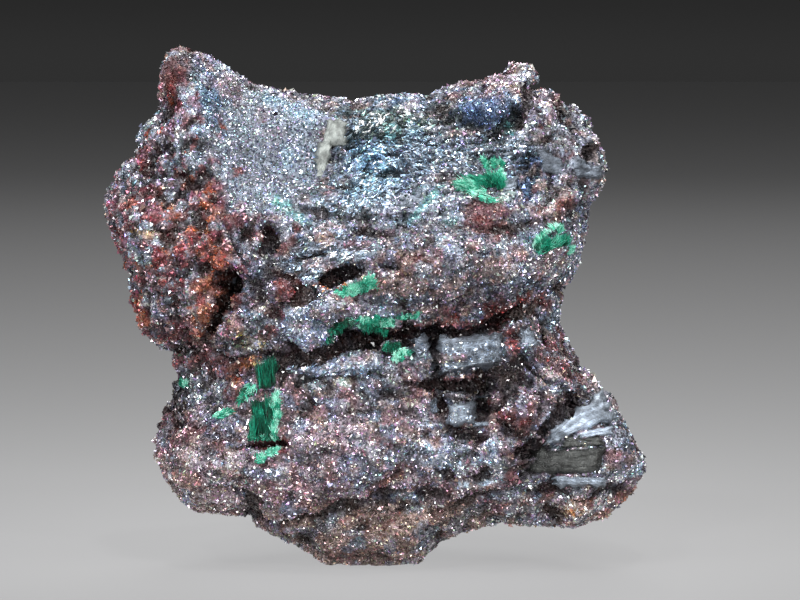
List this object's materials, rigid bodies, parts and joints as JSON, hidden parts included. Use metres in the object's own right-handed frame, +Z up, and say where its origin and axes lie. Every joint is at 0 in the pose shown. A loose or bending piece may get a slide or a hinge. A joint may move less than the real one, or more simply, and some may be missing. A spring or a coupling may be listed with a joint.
{
  "type": "lepidocrocite specimen",
  "caption": "Sparkling lepidocrocite crust on two grown-together blocks with green malachite tufts, standing on a small flat.",
  "frame": {"origin": "on the flat that the specimen stands on, under its weight", "axes": "+Z up, -Y out of the show face, +X to the right as the show face is seen"},
  "size_m": [0.0406, 0.0264, 0.0379],
  "materials": {
    "lepidocrocite": "druse of tiny metallic crystals, lilac-grey to rust red, sparkling",
    "malachite": "silky fibrous green"
  },
  "bodies": {
    "root": {"lepidocrocite_mass": "lepidocrocite", "malachite_spray_top": "malachite", "malachite_plume_top": "malachite", "malachite_tuft_right": "malachite", "malachite_tuft_centre": "malachite", "malachite_ledge_growth": "malachite", "malachite_cleft_patch": "malachite", "malachite_blade_bunch": "malachite", "malachite_chips_left": "malachite", "malachite_chips_low": "malachite", "malachite_edge_tuft": "malachite"}
  },
  "joints": []
}
